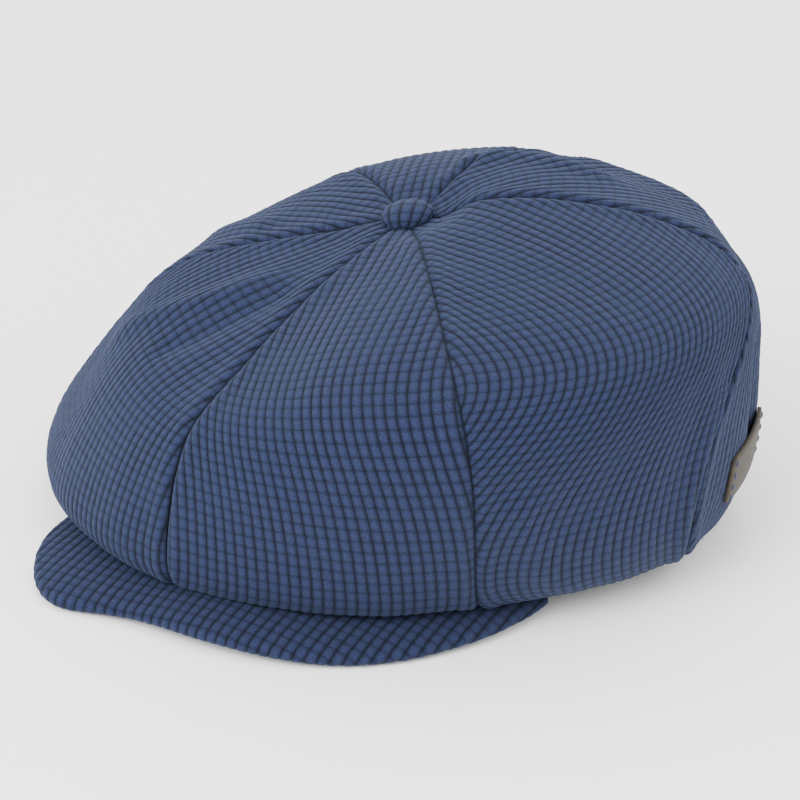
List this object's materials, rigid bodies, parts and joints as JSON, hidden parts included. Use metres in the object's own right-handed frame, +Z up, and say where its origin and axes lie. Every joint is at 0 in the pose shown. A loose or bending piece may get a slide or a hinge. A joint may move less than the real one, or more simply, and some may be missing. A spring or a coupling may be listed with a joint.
{
  "type": "newsboy cap",
  "caption": "Soft panelled newsboy cap in textured blue cloth: full gathered crown, covered button, short drooping brim and a leather side tab.",
  "frame": {"origin": "centre of the footprint of the whole cap, on the surface it rests on", "axes": "+Z up, -Y towards the brim (the way the wearer looks), +X towards the wearer's left"},
  "size_m": [0.281, 0.2905, 0.1309],
  "materials": {
    "cap_cloth": "waffle-textured knitted cloth, matt",
    "under_cloth": "plain woven cloth, matt",
    "lining_cloth": "satin-weave lining",
    "band_cloth": "twill tape, matt",
    "brim_board": "moulded sheet",
    "button_metal": "pressed sheet",
    "sewing_thread": "spun thread",
    "label_leather": "smooth leather, satin",
    "woven_tab": "woven tape"
  },
  "bodies": {
    "root": {"brim_core": "brim_board", "brim_top_cover": "cap_cloth", "brim_under_cover": "under_cloth", "button_back": "button_metal", "button_cover": "cap_cloth", "button_shell": "button_metal", "button_thread": "sewing_thread", "care_tab": "woven_tab", "crown_panel_front_left": "cap_cloth", "crown_panel_front_right": "cap_cloth", "crown_panel_rear_left": "cap_cloth", "crown_panel_rear_right": "cap_cloth", "crown_panel_side_left": "cap_cloth", "crown_panel_side_right": "cap_cloth", "lining_panel_front_left": "lining_cloth", "lining_panel_front_right": "lining_cloth", "lining_panel_rear_left": "lining_cloth", "lining_panel_rear_right": "lining_cloth", "lining_panel_side_left": "lining_cloth", "lining_panel_side_right": "lining_cloth", "side_label": "label_leather", "side_label_stitches": "sewing_thread", "size_tab": "woven_tab", "sweatband": "band_cloth"}
  },
  "joints": []
}
